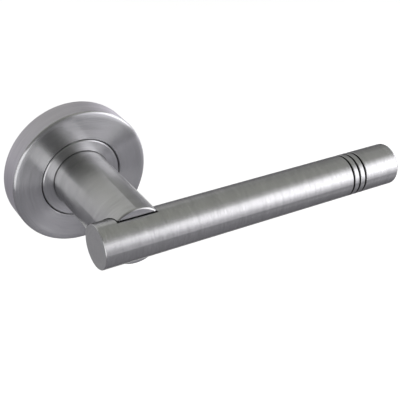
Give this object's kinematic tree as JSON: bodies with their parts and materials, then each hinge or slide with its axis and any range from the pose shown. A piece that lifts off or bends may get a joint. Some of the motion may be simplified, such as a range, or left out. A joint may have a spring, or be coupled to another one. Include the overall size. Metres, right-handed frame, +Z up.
{
  "type": "door lever handle",
  "caption": "Sprung door lever: a straight round grip bar with fine end grooves, held in a saddle on a round neck that turns in a round rose screwed to the door.",
  "frame": {"origin": "on the spindle axis, in the plane of the rose's back, which is the plane of the door's face", "axes": "+Y along the spindle into the door, +X along the grip bar towards its free end, +Z up"},
  "size_m": [0.1365, 0.061, 0.053],
  "materials": {
    "satin_steel": "satin brushed stainless steel, grain round the tube and the neck",
    "spun_steel": "stainless steel with a spun circular grain",
    "cast_zinc": "dull as-cast zinc alloy",
    "plain_steel": "turned bright steel",
    "spring_steel": "blued spring steel",
    "black_steel": "black oxide steel",
    "nylon": "natural nylon",
    "rubber": "black rubber"
  },
  "bodies": {
    "base": {"back_plate": "cast_zinc", "bearing_bush": "nylon", "cover_grip_ring": "rubber", "return_spring": "spring_steel", "stop_pins": "plain_steel", "spring_anchor_pin": "plain_steel"},
    "lever": {"neck": "satin_steel", "collar_ring": "spun_steel", "drive_pin": "plain_steel", "spindle_hub": "plain_steel", "retaining_ring": "spring_steel", "disc_washer": "spring_steel", "thrust_washer": "nylon", "grub_screw": "black_steel", "neck_screw": "black_steel", "lock_washer": "spring_steel", "saddle_nut": "plain_steel", "bar_tube": "satin_steel", "near_end_cap": "satin_steel", "far_end_cap": "satin_steel"},
    "cover": {"rose_cover": "spun_steel"}
  },
  "joints": [
    {"name": "lever_turn", "type": "hinge", "parent": "base", "child": "lever", "pos_m": [0, 0, 0], "axis": [0, 1, 0], "range_deg": [0, 45], "stiffness_Nm_per_rad": 0.31, "springref_deg": -45.84, "deforming": ["return_spring"]},
    {"name": "cover_slide", "type": "slide", "parent": "base", "child": "cover", "axis": [0, -1, 0], "range_m": [0, 0.034]}
  ]
}
